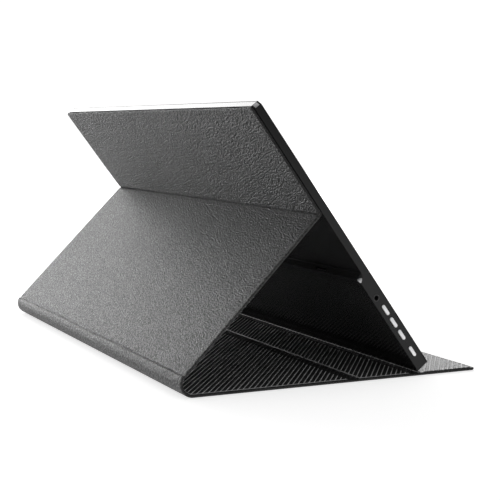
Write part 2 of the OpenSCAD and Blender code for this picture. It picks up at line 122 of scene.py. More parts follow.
def addBlock(name, low, high):
    clearSelection()
    bpy.ops.mesh.primitive_cube_add(size=1, location=[(a + b) / 2 for a, b in zip(low, high)])
    obj = bpy.context.object
    obj.scale = [b - a for a, b in zip(low, high)]
    settle(obj)
    obj.name = obj.data.name = name
    return obj


def choose(obj, kind, test):
    # selects vertices, edges or faces by their place or normal, in edit mode
    if obj.mode != "EDIT":
        enterEdit(obj)
    bpy.ops.mesh.select_mode(type=kind)
    bpy.ops.mesh.select_all(action="DESELECT")
    mesh = bmesh.from_edit_mesh(obj.data)
    for part in {"VERT": mesh.verts, "EDGE": mesh.edges, "FACE": mesh.faces}[kind]:
        if test(part):
            part.select_set(True)
    mesh.select_flush_mode()
    bmesh.update_edit_mesh(obj.data)


def edgeAll(edge, test):
    return all(test(v.co) for v in edge.verts)


def planeAt(axis, place):
    point, normal = [0.0] * 3, [0.0] * 3
    point[axis] = place
    normal[axis] = 1.0
    return point, normal


def cutAcross(obj, axis, places):
    # a row of edges at each place, all through the piece
    enterEdit(obj)
    for place in places:
        point, normal = planeAt(axis, place)
        bpy.ops.mesh.select_all(action="SELECT")
        bpy.ops.mesh.bisect(plane_co=point, plane_no=normal, threshold=0.0001)
    leaveEdit()


def trim(obj, axis, place, keepBelow):
    # cuts the piece off at a plane and closes it
    enterEdit(obj)
    bpy.ops.mesh.select_all(action="SELECT")
    point, normal = planeAt(axis, place)
    bpy.ops.mesh.bisect(plane_co=point, plane_no=normal, use_fill=True,
                        clear_outer=keepBelow, clear_inner=not keepBelow, threshold=0.0001)
    leaveEdit()


def applyModifier(obj, kind, **settings):
    makeActive(obj)
    modifier = obj.modifiers.new(kind.title(), kind)
    for key, value in settings.items():
        setattr(modifier, key, value)
    bpy.ops.object.modifier_apply(modifier=modifier.name)


def cutOut(obj, cutters):
    # takes the cutters' shapes out of the piece
    for cutter in cutters:
        applyModifier(obj, "BOOLEAN", operation="DIFFERENCE", solver="EXACT", object=cutter)
        bpy.data.objects.remove(cutter)


def joinAll(first, *others):
    makeActive(first)
    for other in others:
        other.select_set(True)
    bpy.ops.object.join()
    return first


def tidyMesh(obj, merge):
    enterEdit(obj)
    bpy.ops.mesh.select_all(action="SELECT")
    bpy.ops.mesh.remove_doubles(threshold=merge)
    bpy.ops.mesh.normals_make_consistent(inside=False)
    leaveEdit()


def shadeSmooth(obj, angle):
    makeActive(obj)
    bpy.ops.object.shade_smooth_by_angle(angle=math.radians(angle))


def between(value, low, high):
    return low <= value <= high


def smoothStep(value, low, high):
    t = min(1.0, max(0.0, (value - low) / (high - low)))
    return t * t * (3 - 2 * t)


# The way round the cover, seen from the side
def tracePath(start, heading, moves):
    # a line in the side view, from straight runs and arcs: each piece as [s, length, y, z, heading, bend]
    pieces = []
    y, z = start
    s = 0.0
    for size, angle in moves:
        length = size if angle == 0 else size * math.radians(abs(angle))
        bend = 0.0 if angle == 0 else math.copysign(1 / size, angle)
        pieces.append([s, length, y, z, heading, bend])
        (y, z), heading = walk(pieces[-1], length)
        s += length
    return pieces


def walk(piece, distance):
    y, z, heading, bend = piece[2:]
    a = math.radians(heading)
    if bend == 0:
        return (y + distance * math.cos(a), z + distance * math.sin(a)), heading
    b = a + bend * distance
    return (y + (math.sin(b) - math.sin(a)) / bend, z - (math.cos(b) - math.cos(a)) / bend), math.degrees(b)


def pathAt(pieces, s):
    piece = pieces[0]
    for candidate in pieces:
        if s >= candidate[0]:
            piece = candidate
    return walk(piece, s - piece[0])


def layAlong(obj, pieces):
    # a flat sheet, x across, y along, z up, laid along the way with its upper side inwards
    for vertex in obj.data.vertices:
        x, s, h = vertex.co
        (y, z), heading = pathAt(pieces, s)
        a = math.radians(heading)
        vertex.co = (x * mm, (y - h * math.sin(a)) * mm, (z + h * math.cos(a)) * mm)


middleHeading = 180 - middleAngle
middleNormal = 90 - middleAngle               # the outer side of the middle panel, as an angle
axisReach = ((creaseAxis[0] - heel[0]) * math.cos(math.radians(middleNormal))
             + (creaseAxis[1] - heel[1]) * math.sin(math.radians(middleNormal)))


def stepToMiddle(radius, leave, depth, bend):
    # from the round of the spine, left at an angle, by two small arcs down to the middle panel's line
    behind = middleNormal - leave
    drop = radius * math.cos(math.radians(behind)) - (axisReach + depth)
    drop += bend * (1 - math.cos(math.radians(behind)))
    turn = math.degrees(math.acos(1 - drop / (2 * bend)))
    return [(bend, behind + turn), (bend, -turn)]


def lengthToFold(pieces, depth, bend):
    # straight run from where the path is to the start of the fold's arc
    last = pieces[-1]
    y, z = walk(last, last[1])[0]
    a = math.radians(middleHeading)
    along = (foldAxis[0] - y) * math.cos(a) + (foldAxis[1] - z) * math.sin(a)
    half = math.radians((middleHeading - tilt) / 2)
    return along - (depth + bend) * math.tan(half)


def coverPath(startY, level, leave, bend, foldBend, topY):
    # level: how far the path lies above the table under the base
    depth = 0.9 - level                       # outside the folds' axes on the standing panels
    radius = heelRadius - level
    moves = [(heel[0] - startY, 0), (radius, 90 + leave)]
    moves += stepToMiddle(radius, leave, depth, bend)
    start = (startY, level)
    moves.append((lengthToFold(tracePath(start, 0, moves), depth, foldBend), 0))
    moves.append((foldBend, tilt - middleHeading))
    moves.append((topY, 0))
    return tracePath(start, 0, moves)


leatherFront, leatherTop = -115.0, 83.2       # front edge's y, and the length above the fold
liningFront, liningTop = -112.8, 80.9
liningLevel = 1.87
foldHalf = math.radians(40.86)                # half the fold's turn
outerPath = coverPath(leatherFront, 0.0, 29, 1.0, 1.0, leatherTop)
innerPath = coverPath(liningFront, liningLevel, 25, 1.0, 0.9, liningTop)


def placeAt(pieces, index, distance=0.0):
    return pieces[index][0] + distance


# Places along the leather, from the front edge of the flap
at = {
    "front": 0.0,
    "flapFold": flapAxis[0] - leatherFront,
    "base": -leatherFront,                    # add a row y to this
    "heel": placeAt(outerPath, 1),
    "foot": placeAt(outerPath, 1, heelRadius * math.radians(45)),
    "midSpine": placeAt(outerPath, 1, heelRadius * math.radians(87)),
    "crease": placeAt(outerPath, 4, 0.3),
    "midMiddle": placeAt(outerPath, 4, 68),
    "fold": placeAt(outerPath, 5, foldHalf),
    "top": placeAt(outerPath, 6, leatherTop),
}
print("leather's way:", {k: round(v, 2) for k, v in at.items()})


# Outer leather, over the boards and round their edges
leather = {
    "skin": 0.6,                              # thickness of the leather itself
    "thick": 1.78,                            # over the turned edge, under the lining
    "turnedEdge": 2.2,                        # width of the edge turned over the board
    "outerRound": 0.85,
    "innerRound": 0.45,
    "corner": 3.0,
    "column": 3.6,                            # spacing of the rows of edges across the width
    "creaseDepth": 0.6,
}


def cutLeather(name, start, end, closedStart, closedEnd):
    # the leather lies face down, with its edges turned up
    thick = leather["thick"]
    spare = 9.0                               # cut off again at an open end
    low = start if closedStart else start - spare
    high = end if closedEnd else end + spare
    obj = addBlock(name, (-coverHalf, low, 0), (coverHalf, high, thick))
    ends = [place for place, closed in ((start, closedStart), (end, closedEnd)) if closed]
    if ends:
        choose(obj, "EDGE", lambda e: edgeAll(e, lambda p: abs(p.y - ends[0]) < 0.01) and runs(e, 2, 0.5))
        bevel(leather["corner"], 5)
    choose(obj, "FACE", lambda f: f.normal.z > 0.9)
    bpy.ops.mesh.inset(thickness=leather["turnedEdge"])
    bpy.ops.mesh.extrude_region_move(
        TRANSFORM_OT_translate={"value": (0, 0, leather["skin"] - thick)})
    for level, width, steps in ((0.0, leather["outerRound"], 3), (thick, leather["innerRound"], 2)):
        choose(obj, "EDGE", lambda e: edgeAll(e, lambda p: abs(p.z - level) < 0.01)
               and outerEdge(e, low, high))
        bevel(width, steps)
    leaveEdit()
    if not closedStart:
        trim(obj, 1, start, False)
    if not closedEnd:
        trim(obj, 1, end, True)
    return obj


def outerEdge(edge, low, high):
    # an edge on the outline, not one round the pocket
    faces = edge.link_faces
    return len(faces) == 2 and any(abs(f.normal.z) < 0.2 and not pocketWall(f, low, high) for f in faces)


def pocketWall(face, low, high):
    inside = leather["turnedEdge"] - 0.1
    c = face.calc_center_median()
    return abs(c.x) < coverHalf - inside and between(c.y, low + inside, high - inside)


def rowsAround(centre, reach, spacing):
    count = int(round(2 * reach / spacing))
    return [centre - reach + i * 2 * reach / count for i in range(count + 1)]


def columnsOf(spacing):
    count = int(2 * coverHalf / spacing)
    inner = [-coverHalf + 6 + i * (2 * coverHalf - 12) / count for i in range(count + 1)]
    return inner + [side * (coverHalf - d) for side in (-1, 1) for d in (2.6, 3.6, 4.6)]


def grooves(obj, places):
    # places: along, half width, depth, and how uneven it is
    for vertex in obj.data.vertices:
        x, s, h = vertex.co
        for along, half, depth, uneven in places:
            wander = uneven * 0.8 * noise.noise(Vector((x * 0.09, along, 3.1)))
            near = max(0.0, 1 - abs(s - along - wander) / half)
            if near > 0:
                share = near * near * (3 - 2 * near)
                strength = 1 + uneven * noise.noise(Vector((x * 0.21, along, 7.7)))
                vertex.co.z += depth * share * strength * (1 if h < 0.7 else 0.35)


def wrinkles(obj, along, reach, height):
    # small puckers that run out from a crease
    for vertex in obj.data.vertices:
        x, s, h = vertex.co
        away = abs(s - along)
        if h < 0.7 and away < reach:
            fade = (1 - away / reach) ** 2 * smoothStep(away, 0.0, 1.2)
            pattern = noise.noise(Vector((x * 0.16 + 0.35 * s, s * 0.11, along)))
            pattern += 0.6 * noise.noise(Vector((x * 0.37 - 0.5 * s, s * 0.2, along + 5)))
            vertex.co.z -= height * fade * pattern


def thinEdges(obj, zones):
    # where the cover folds, the turned edges are pressed thin: zones as from, to, height kept
    for vertex in obj.data.vertices:
        s, h = vertex.co.yz
        if h > leather["skin"] + 0.05:
            for start, end, kept in zones:
                press = smoothStep(s, start - 1.0, start) * (1 - smoothStep(s, end, end + 1.0))
                if press > 0:
                    full = kept + (h - leather["skin"]) * 0.05
                    vertex.co.z = h + (full - h) * press


def pointValues(obj, name):
    # a named number at each vertex, for the finish to read
    return obj.data.attributes.new(name, "FLOAT", "POINT").data


def paintRimShade(obj):
    # painted shade: the colour darkens on the outermost half millimetre of the side edges
    rim = pointValues(obj, "rim")
    for vertex in obj.data.vertices:
        rim[vertex.index].value = smoothStep(abs(vertex.co.x), coverHalf - 0.5, coverHalf - 0.05)


def borderLine(obj, depth, closedEnd=None):
    # faint pressed line just inside the edges
    for vertex in obj.data.vertices:
        x, s, h = vertex.co
        if h < 0.3:
            side = abs(abs(x) - (coverHalf - 3.6))
            near = max(0.0, 1 - side)
            if closedEnd is not None:
                near = max(near, 1 - abs(abs(s - closedEnd) - 3.6))
            vertex.co.z += depth * near


fine = columnsOf(leather["column"])
coarse = columnsOf(9.0)

# Upper leather: from the middle of the middle panel over the fold to the top edge
upperLeather = cutLeather("upper_leather", at["midMiddle"], at["top"], False, True)
secondCrease = at["fold"] - 5.6
rows = (rowsAround(at["fold"], 3.2, 0.32) + rowsAround(secondCrease, 1.8, 0.45)
        + rowsAround(at["top"] - 3.6, 1.0, 1.0)
        + [at["midMiddle"] + d for d in (12, 24, 36, 48, 58)]
        + [at["fold"] + d for d in (4.5, 6, 20, 35, 50, 65)])
cutAcross(upperLeather, 1, sorted(rows))
cutAcross(upperLeather, 0, fine)
thinEdges(upperLeather, [(at["fold"] - 1.0, at["fold"] + 1.0, 1.5), (at["fold"] + 3.5, at["top"] + 5, 1.35)])
grooves(upperLeather, [(secondCrease, 1.2, 0.08, 0.25), (at["fold"], 0.7, 0.95, 0.1)])
borderLine(upperLeather, 0.1, at["top"])
reliefAndShade = pointValues(upperLeather, "reliefAndShade")
for vertex in upperLeather.data.vertices:     # the upper panel's grain is pressed deeper, and its colour gets painted shade
    reliefAndShade[vertex.index].value = smoothStep(vertex.co.y, at["fold"] - 1, at["fold"] + 1)
layAlong(upperLeather, outerPath)

# Middle leather: from the middle of the spine over the top crease to the middle panel
middleLeather = cutLeather("middle_leather", at["midSpine"], at["midMiddle"], False, False)
rows = (rowsAround(at["crease"], 4.2, 0.4) + [at["midSpine"] + d for d in (1.2, 2.2)]
        + [at["crease"] + d for d in (5.2, 6.4, 7.8, 9.4, 11.2, 13.5, 17, 22, 30, 40, 52)])
cutAcross(middleLeather, 1, sorted(rows))
cutAcross(middleLeather, 0, fine)
thinEdges(middleLeather, [(at["crease"] - 1.2, at["crease"] + 1.2, 1.4)])
grooves(middleLeather, [(at["crease"], 1.1, leather["creaseDepth"], 0.45)])
wrinkles(middleLeather, at["crease"], 9.0, 0.35)
borderLine(middleLeather, 0.08)
layAlong(middleLeather, outerPath)

# Spine leather: from the base round the heel and over the foot crease
baseCut = at["base"] + 50
spineLeather = cutLeather("spine_leather", baseCut, at["midSpine"], False, False)
rows = (rowsAround(at["foot"], 3.0, 0.4) + [at["heel"] + d for d in (0, 1.1, 2.3, 3.4)]
        + [at["foot"] + d for d in (4.2, 5.4)] + [baseCut + d for d in (12, 25, 38, 50)])
cutAcross(spineLeather, 1, sorted(rows))
cutAcross(spineLeather, 0, coarse)
thinEdges(spineLeather, [(at["foot"] - 1.2, at["foot"] + 1.2, 1.4)])
grooves(spineLeather, [(at["foot"], 1.0, 0.35, 0.3)])
paintRimShade(spineLeather)
layAlong(spineLeather, outerPath)

# Base leather: the front flap and the base under the display
gapFront = (at["base"] - 66.3, at["base"] - 58.5)
gapRear = (at["base"] - 17.4, at["base"] - 8.1)
baseLeather = cutLeather("base_leather", at["front"], baseCut, True, False)
rows = (rowsAround(at["flapFold"], 2.8, 0.4) + [p + d for p in gapFront for d in (-1, 0, 1)]
        + [p + d for p in gapRear for d in (-1, 0, 1)] + [12, 24, 36, 72, 84, 120, 132, 144, 156])
cutAcross(baseLeather, 1, sorted(r for r in set(rows) if r < baseCut - 1))
cutAcross(baseLeather, 0, coarse)
thinEdges(baseLeather, [(gap[0] + 0.6, gap[1] - 0.6, 1.25) for gap in (gapFront, gapRear)])
paintRimShade(baseLeather)
layAlong(baseLeather, outerPath)
print("outer leather laid:", [len(o.data.polygons) for o in
      (upperLeather, middleLeather, spineLeather, baseLeather)])


# Ribbed lining on the inner side
lining = {
    "half": 178.2,
    "upperHalf": 175.5,                       # on the upper panel the display hides it
    "sheet": 0.22,                            # thickness under the ribs
    "pitch": 3.15,
    "turn": -39.0,                            # how the ribs lie, from the width
    "ribWidth": 0.74,
    "ribHeight": 0.4,
    "ribRound": 0.22,
}


def cutLining(name, start, end, half=lining["half"]):
    # a flat sheet with its ribs, cut to size
    sheet = addBlock(name, (-half, start, -lining["sheet"]), (half, end, 0))
    turn = math.radians(lining["turn"])
    along = lining["pitch"] / math.cos(turn)
    spread = half * abs(math.tan(turn)) + 4
    first = math.floor((start - spread - base) / along)
    last = math.ceil((end + spread - base) / along)
    reach = (half + 4) / math.cos(turn)
    rib = addBlock(name + "_rib", (-reach, -lining["ribWidth"] / 2, -0.05),
                   (reach, lining["ribWidth"] / 2, lining["ribHeight"]))
    choose(rib, "EDGE", lambda e: edgeAll(e, lambda p: p.z > 0.1) and runs(e, 0, 1))
    bevel(lining["ribRound"], 2)
    leaveEdit()
    rib.rotation_euler = (0, 0, turn)
    rib.location = (0, base + first * along, 0)
    settle(rib)
    applyModifier(rib, "ARRAY", count=last - first + 1, use_relative_offset=False,
                  use_constant_offset=True, constant_offset_displace=(0, along, 0))
    for axis, place, below in ((0, -half + 0.05, False), (0, half - 0.05, True),
                               (1, start + 0.05, False), (1, end - 0.05, True)):
        trim(rib, axis, place, below)
    return joinAll(sheet, rib)


def layLining(obj, rows, dips, smoothEnd=None):
    # dips: from, to, how deep the lining lies in a soft crease, where painted shade also dims the ribs; it is
    # worn smooth up to smoothEnd
    cutAcross(obj, 1, sorted(rows))
    crestHighlight = pointValues(obj, "crestHighlight")
    polish = pointValues(obj, "polish")
    for vertex in obj.data.vertices:
        s = vertex.co.y
        height = vertex.co.z
        onSeam = height > lining["ribHeight"] + 0.02
        # painted shade: the raised seams' crest value is dimmed, most at the seam by smoothEnd
        worn = 0.86 if onSeam else 1.0
        if onSeam and smoothEnd and s < smoothEnd + 1.2:
            worn = 0.3
        # painted shade: in a soft crease the ribs are dimmed as well as sunk
        for start, end, depth in dips:
            share = smoothStep(s, start - 1.0, start + 0.2) * (1 - smoothStep(s, end - 0.2, end + 1.0))
            vertex.co.z -= depth * share
            worn -= (0.25 if onSeam else 0.45) * share
        smooth = smoothStep(s, smoothEnd, smoothEnd - 1.0) if smoothEnd else 0.0
        # crest value: drives the painted highlight on the rib tops, a little lower where the lining is worn
        # smooth
        crestHighlight[vertex.index].value = (worn - 0.2 * smooth) * smoothStep(height, 0.1, 0.36)
        polish[vertex.index].value = smooth
    layAlong(obj, innerPath)


def addSeam(obj, along, height, radius):
    # raised line where the lining is pressed down beside a soft crease
    half = lining["half"] - 0.2
    seam = addBlock("seam", (-half, along - radius, height - radius),
                    (half, along + radius, height + radius * 0.8))
    choose(seam, "EDGE", lambda e: edgeAll(e, lambda p: p.z > height) and runs(e, 0, 1))
    bevel(radius * 0.7, 3)
    leaveEdit()
    joinAll(obj, seam)


def addBorder(obj, start, end):
    # pressed bead along both side edges of the lining
    for side in (-1, 1):
        outside = side * (lining["half"] - 0.1)
        inside = side * (lining["half"] - 0.8)
        bead = addBlock("bead", (min(inside, outside), start, -0.1), (max(inside, outside), end, 0.5))
        choose(bead, "EDGE", lambda e: edgeAll(e, lambda p: p.z > 0.4) and runs(e, 1, 1))
        bevel(0.25, 2)
        leaveEdit()
        joinAll(obj, bead)


inner = {
    "base": -liningFront,
    "heel": placeAt(innerPath, 1),
    "foot": placeAt(innerPath, 1, (heelRadius - liningLevel) * math.radians(45)),
    "midSpine": placeAt(innerPath, 1, (heelRadius - liningLevel) * math.radians(87)),
    "crease": placeAt(innerPath, 4, 0.5),
    "midMiddle": placeAt(innerPath, 4, 68),
    "fold": placeAt(innerPath, 5, foldHalf * 0.9),
    "top": placeAt(innerPath, 6, liningTop),
}
base = inner["base"]                          # where the row's y is 0
liningCut = base + 50

flapLining = cutLining("flap_lining_sheet", 0.0, liningCut)
addSeam(flapLining, base - 17.6, 0.08, 0.55)
addSeam(flapLining, base - 62.6, 0.1, 0.45)
addSeam(flapLining, base - 66.6, 0.26, 0.6)   # the display's foot stands against this one
notches = [(1.5 + 8.2 * i, 8.8 + 8.2 * i) for i in range(5)]
for start, end in notches + [(base - 57.6, base - 18.4), (base - 7.4, liningCut)]:
    addBorder(flapLining, start, end)
layLining(flapLining, rowsAround(base - 62.4, 6.4, 0.8) + rowsAround(base - 12.75, 6.4, 0.8)
          + [12, 24, 36, 70, 82, 125, 140, 155],
          [(base - 65.0, base - 58.5, 0.5), (base - 17.0, base - 8.1, 0.5)], base - 67)

heelLining = cutLining("heel_lining_sheet", liningCut, inner["midSpine"])
addBorder(heelLining, liningCut, inner["foot"] - 2)
layLining(heelLining, rowsAround(inner["foot"], 6.0, 0.6)
          + [liningCut + 18, liningCut + 36, inner["heel"]], [])

middleLining = cutLining("middle_lining_sheet", inner["midSpine"], inner["midMiddle"])
layLining(middleLining, rowsAround(inner["crease"], 4.8, 0.6)
          + [inner["crease"] + d for d in (6.5, 18, 30, 42, 54)], [])

upperLining = cutLining("upper_lining_sheet", inner["midMiddle"], inner["top"], lining["upperHalf"])
layLining(upperLining, rowsAround(inner["fold"], 3.0, 0.5)
          + [inner["midMiddle"] + d for d in (16, 32, 48, 60)]
          + [inner["fold"] + d for d in (16, 32, 48, 64)], [])
print("lining laid:", [len(o.data.polygons) for o in (flapLining, heelLining, middleLining, upperLining)])


# The strips over the four folds: each is tidied, smoothed and baked into the frame, given its finish, and the
# CAD pieces it stands for are hidden
def joinAcross(obj, pieces, place, reach, first, second, slot, *replaced):
    tidyMesh(obj, 0.0000005)
    shadeSmooth(obj, 35)
    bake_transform(obj)
    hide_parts(*replaced)
    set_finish(obj, slot)


joinAcross(upperLeather, outerPath, at["fold"], 2.6, "middle_panel", "upper_panel", "leather",
           "upper_skin", "fold_crease")
joinAcross(middleLeather, outerPath, at["crease"], 2.2, "spine", "middle_panel", "leather",
           "middle_skin", "spine_top_crease")
joinAcross(spineLeather, outerPath, at["foot"], 2.0, "base", "spine", "leather",
           "spine_skin", "spine_foot_crease")
joinAcross(baseLeather, outerPath, at["flapFold"], 2.2, "front_flap", "base", "leather",
           "base_skin", "flap_skin", "flap_crease")
joinAcross(upperLining, innerPath, inner["fold"], 2.6, "middle_panel", "upper_panel", "lining",
           "upper_lining")
joinAcross(middleLining, innerPath, inner["crease"], 2.2, "spine", "middle_panel", "lining", "middle_lining")
joinAcross(heelLining, innerPath, inner["foot"], 1.8, "base", "spine", "lining", "spine_lining")
joinAcross(flapLining, innerPath, base + flapAxis[0], 2.2, "front_flap", "base", "lining",
           "base_lining", "flap_lining")


# The display's shell, drawn flat: y up its back, z from its back to its front
shell = {
    "half": 178.0,
    "height": 222.8,
    "depth": 9.0,
    "inset": 4.3,
    "step": 84.6,
    "lean": 2.2,
    "corner": 2.4,
    "footCorner": 0.8,
    "backEdge": 0.3,
    "stepRound": 0.5,
    "chip": 1.8,                              # depth of the small facets at the ends of the step
    "wall": 1.2,
}
keyPlaces = {"power_key": 15.2, "lower_key": 30.6, "centre_key": 41.9, "upper_key": 53.2}
keyForm = {"length": 8.4, "width": 2.4, "proud": 0.5, "z": 4.5, "gap": 0.15}
openings = {                                  # up the display, from its back, and their size
    "socket": {"up": 64.8, "z": 3.6, "width": 4.4},
    "light": {"up": 23.2, "z": 5.0, "width": 1.0},
    "usb": {"ups": (31, 45), "z": 3.9, "length": 9.5, "width": 3.7},
    "video": {"up": 61, "z": 3.9, "length": 11.8, "width": 3.5},
    "speaker": {"out": 127.5, "z": 2.2, "length": 15, "width": 1.5},
}


def placeInFrame(obj):
    # from millimetres in the display's own lie to metres in the frame
    obj.scale = (mm, mm, mm)
    obj.rotation_euler = (math.radians(tilt), 0, 0)
    obj.location = (0, displayFoot[0] * mm, displayFoot[1] * mm)
    settle(obj)


def addSlot(name, x0, x1, y, z, length, width):
    # a bar with round ends, its long side up the display
    block = addBlock(name, (x0, y - length / 2, z - width / 2), (x1, y + length / 2, z + width / 2))
    choose(block, "EDGE", lambda e: runs(e, 0, 0.9 * (x1 - x0)))
    bevel(width / 2, 8)
    bpy.ops.mesh.select_all(action="SELECT")
    bpy.ops.mesh.remove_doubles(threshold=0.01)
    leaveEdit()
    return block


def addRound(name, x0, x1, y, z, diameter, sides=32):
    clearSelection()
    bpy.ops.mesh.primitive_cylinder_add(vertices=sides, radius=diameter / 2, depth=x1 - x0,
                                        location=((x0 + x1) / 2, y, z), rotation=(0, math.pi / 2, 0))
    obj = bpy.context.object
    settle(obj)
    obj.name = name
    return obj


def cutCorners(obj):
    # chamfered at the top, nearly sharp at the foot
    for offset, atEnd in ((shell["corner"], lambda y: y > shell["height"] - 0.01),
                          (shell["footCorner"], lambda y: y < 0.01)):
        choose(obj, "EDGE", lambda e: edgeAll(e, lambda p: atEnd(p.y)) and runs(e, 2, 0.5))
        bevel(offset, 1)


wide = shell["half"]
rearShell = addBlock("display_shell", (-wide, 0, 0), (wide, shell["height"], shell["depth"]))
stepLow = shell["step"] - shell["lean"] / 2
stepHigh = shell["step"] + shell["lean"] / 2
cutAcross(rearShell, 1, [stepLow, stepHigh])
choose(rearShell, "VERT", lambda v: v.co.z < 0.01 and v.co.y > stepHigh - 0.01)
bpy.ops.transform.translate(value=(0, 0, shell["inset"]))
cutCorners(rearShell)
for level in ((stepLow, 0.0), (stepHigh, shell["inset"])):
    choose(rearShell, "EDGE", lambda e: edgeAll(e, lambda p: abs(p.y - level[0]) < 0.01
           and abs(p.z - level[1]) < 0.01))
    bevel(shell["stepRound"], 4)


def onBackOutline(edge):
    # between a face that looks back and one that looks sideways
    if len(edge.link_faces) != 2:
        return False
    back = [f for f in edge.link_faces if f.normal.z < -0.3 or (abs(f.normal.x) < 0.01 and f.normal.z < 0)]
    side = [f for f in edge.link_faces if abs(f.normal.z) < 0.01]
    return len(back) == 1 and len(side) == 1


choose(rearShell, "EDGE", onBackOutline)
bevel(shell["backEdge"], 3)
leaveEdit()
w = shell["wall"]
cavity = addBlock("cavity", (-wide + w, w, w), (wide - w, shell["height"] - w, shell["depth"] + 2))
innerLow = stepLow - w - 0.3
innerHigh = innerLow + shell["lean"]
cutAcross(cavity, 1, [innerLow, innerHigh])
choose(cavity, "VERT", lambda v: v.co.z < w + 0.01 and v.co.y > innerHigh - 0.01)
bpy.ops.transform.translate(value=(0, 0, shell["inset"]))
choose(cavity, "EDGE", lambda e: edgeAll(e, lambda p: p.y < w + 0.01 or p.y > shell["height"] - w - 0.01)
       and runs(e, 2, 1))
bevel(1.2, 2)
leaveEdit()
cutters = [cavity]
cutters += [addSlot("cut", -wide - 1, -wide + 3, up, keyForm["z"], keyForm["length"] + 2 * keyForm["gap"],
                    keyForm["width"] + 2 * keyForm["gap"]) for up in keyPlaces.values()]
for hole, sides in ((openings["socket"], 32), (openings["light"], 16)):
    cutters.append(addRound("cut", -wide - 1, -wide + 3, hole["up"], hole["z"], hole["width"], sides))
usb, video, speaker = openings["usb"], openings["video"], openings["speaker"]
cutters += [addSlot("cut", wide - 3, wide + 1, up, usb["z"], usb["length"], usb["width"])
            for up in usb["ups"]]
length, width = video["length"], video["width"]
cutters.append(addBlock("cut", (wide - 3, video["up"] - length / 2, video["z"] - width / 2),
                        (wide + 1, video["up"] + length / 2, video["z"] + width / 2)))
for side in (-1, 1):
    slotCut = addSlot("cut", -4, 4, 0, 0, speaker["length"], speaker["width"])
    slotCut.rotation_euler = (0, 0, math.pi / 2)
    slotCut.location = (side * speaker["out"], shell["step"] - 1, speaker["z"])
    settle(slotCut)
    cutters.append(slotCut)
for side in (-1, 1):
    chip = addBlock("chip", (-4, -4, -4), (4, 4, 4))
    outwards = Vector((side, 1, -1)).normalized()
    chip.rotation_euler = outwards.to_track_quat("Z", "Y").to_euler()
    chip.location = Vector((side * wide, stepLow, 0)) + outwards * (4 - shell["chip"])
    settle(chip)
    cutters.append(chip)
cutOut(rearShell, cutters)
tidyMesh(rearShell, 0.0001)
shadeSmooth(rearShell, 28)
applyModifier(rearShell, "WEIGHTED_NORMAL", keep_sharp=True)
placeInFrame(rearShell)
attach(rearShell, "display")
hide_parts("rear_cover")
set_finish(rearShell, "housing")
print("display's shell:", len(rearShell.data.polygons), "faces")

# Ring round the headphone socket's mouth
clearSelection()
mouth = openings["socket"]
bpy.ops.mesh.primitive_torus_add(major_segments=40, minor_segments=10, major_radius=2.05, minor_radius=0.3,
                                 location=(-wide - 0.02, mouth["up"], mouth["z"]),
                                 rotation=(0, math.pi / 2, 0))
socketRing = bpy.context.object
socketRing.name = socketRing.data.name = "socket_ring"
choose(socketRing, "VERT", lambda v: v.co.z > 0.1)
bpy.ops.transform.resize(value=(0.96, 0.96, 1))
leaveEdit()
settle(socketRing)
shadeSmooth(socketRing, 60)
placeInFrame(socketRing)
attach(socketRing, "display")
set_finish(socketRing, "inner_frame")

# Small bare facets at the two ends of the step
for name, side in (("left_step_facet", -1), ("right_step_facet", 1)):
    clearSelection()
    bpy.ops.mesh.primitive_cylinder_add(vertices=3, radius=2.6, depth=0.5)
    facet = bpy.context.object
    facet.name = facet.data.name = name
    choose(facet, "EDGE", lambda e: runs(e, 2, 0.3))
    bevel(1.5, 5)
    choose(facet, "EDGE", lambda e: edgeAll(e, lambda p: p.z > 0.2))
    bevel(0.1, 2)
    leaveEdit()
    outwards = Vector((side, 1, -1)).normalized()
    facet.rotation_euler = outwards.to_track_quat("Z", "Y").to_euler()
    facet.location = Vector((side * wide, stepLow, 0)) - outwards * (shell["chip"] + 0.1)
    settle(facet)
    shadeSmooth(facet, 30)
    placeInFrame(facet)
    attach(facet, "display")
    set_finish(facet, "steel")

# Bare facets on the two upper corners
for name, side in (("left_corner_facet", -1), ("right_corner_facet", 1)):
    reach = shell["corner"] / math.sqrt(2)
    facet = addBlock(name, (-reach + 0.35, -0.3, shell["inset"] + 0.9),
                     (reach - 0.35, 0.06, shell["depth"] - 0.4))
    choose(facet, "EDGE", lambda e: edgeAll(e, lambda p: p.y > 0))
    bevel(0.05, 2)
    leaveEdit()
    facet.rotation_euler = (0, 0, -side * math.pi / 4)
    facet.location = (side * (wide - shell["corner"] / 2), shell["height"] - shell["corner"] / 2, 0)
    settle(facet)
    shadeSmooth(facet, 30)
    placeInFrame(facet)
    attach(facet, "display")
    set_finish(facet, "steel")

# Front bezel, a frame round the picture window
bezel = {"window": 345.0, "low": 21.6, "high": 216.0, "back": 9.0, "front": 10.0, "lip": 1.0}
frontBezel = addBlock("front_bezel", (-wide, 0, bezel["back"]), (wide, shell["height"], bezel["front"]))
cutCorners(frontBezel)
choose(frontBezel, "EDGE", lambda e: edgeAll(e, lambda p: p.z > bezel["front"] - 0.01)
       and len(e.link_faces) == 2 and any(abs(f.normal.z) < 0.1 for f in e.link_faces))
bevel(0.3, 2)
leaveEdit()
lip = addBlock("lip", (-wide + 1.35, 1.35, bezel["back"] - bezel["lip"]),
               (wide - 1.35, shell["height"] - 1.35, bezel["back"] + 0.05))
choose(lip, "EDGE", lambda e: runs(e, 2, 0.5))
bevel(1.0, 2)
leaveEdit()
applyModifier(frontBezel, "BOOLEAN", operation="UNION", solver="EXACT", object=lip)
bpy.data.objects.remove(lip)
window = addBlock("window", (-bezel["window"] / 2, bezel["low"], 0), (bezel["window"] / 2, bezel["high"], 14))
pocket = addBlock("pocket", (-wide + 2.4, 2.4, 0), (wide - 2.4, shell["height"] - 2.4, bezel["back"]))
cutOut(frontBezel, [window, pocket])
